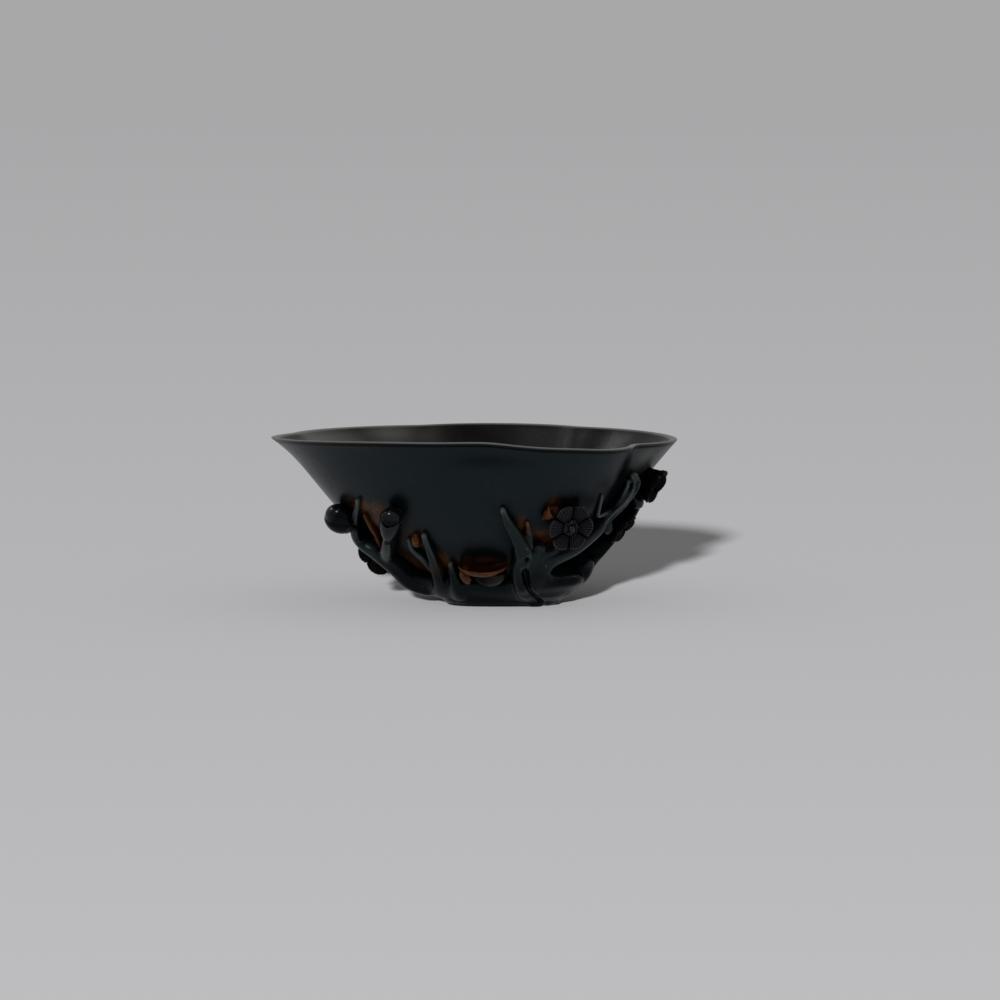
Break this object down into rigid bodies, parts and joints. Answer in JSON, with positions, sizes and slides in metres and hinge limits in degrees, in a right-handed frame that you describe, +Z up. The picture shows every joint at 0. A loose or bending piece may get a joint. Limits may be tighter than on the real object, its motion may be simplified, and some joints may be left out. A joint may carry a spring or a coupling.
{
  "type": "libation cup",
  "caption": "Small dark hardwood libation cup with a flaring lobed mouth on a low foot, its lower half carved with blossoming prunus branches in relief.",
  "frame": {"origin": "middle of the cup's outline seen from above, at the level of the foot's resting ring", "axes": "+X along the mouth's long axis, towards the shorter flare; -X is the pouring side; -Y is the front with the large open blossom; +Z up"},
  "size_m": [0.1196, 0.0914, 0.0505],
  "materials": {
    "bowl": "dark hardwood, polished to a soft cool sheen, a little browner inside",
    "foot": "dark hardwood, worn smooth",
    "branch": "dark hardwood, polished on the ridges, warm brown in the recesses",
    "twig": "dark hardwood, polished on the ridges",
    "blossom": "dark hardwood with finely cut petals, satin",
    "bud": "dark hardwood, highly polished",
    "calyx": "dark brown hardwood, polished"
  },
  "bodies": {
    "root": {"back_blossom_heart": "blossom", "back_blossom_petals": "blossom", "back_left_branch": "branch", "back_left_bud": "bud", "back_left_calyx": "calyx", "back_right_branch": "branch", "back_trunk": "branch", "back_twig": "twig", "behind_blossom_bud": "bud", "behind_blossom_calyx": "calyx", "bowl": "bowl", "centre_blossom_calyx": "calyx", "centre_blossom_petals": "blossom", "foot": "foot", "front_blossom_heart": "blossom", "front_blossom_petals": "blossom", "front_trunk": "branch", "hanging_high_bud": "bud", "hanging_high_calyx": "calyx", "hanging_low_bud": "bud", "hanging_low_calyx": "calyx", "left_arch": "twig", "left_bract": "branch", "left_branch": "branch", "left_bud_stem": "twig", "left_low_blossom_heart": "blossom", "left_low_blossom_petals": "blossom", "left_round_bud": "bud", "left_round_calyx": "calyx", "left_spur": "twig", "left_stem_bud": "bud", "left_stem_calyx": "calyx", "left_twig": "twig", "low_right_branch": "branch", "recess_twig": "twig", "right_branch": "branch", "right_high_blossom_heart": "blossom", "right_high_blossom_petals": "blossom", "right_low_blossom_heart": "blossom", "right_low_blossom_petals": "blossom", "right_small_twig": "twig", "right_thin_twig": "twig", "side_branch": "branch", "trunk_spur": "twig"}
  },
  "joints": []
}
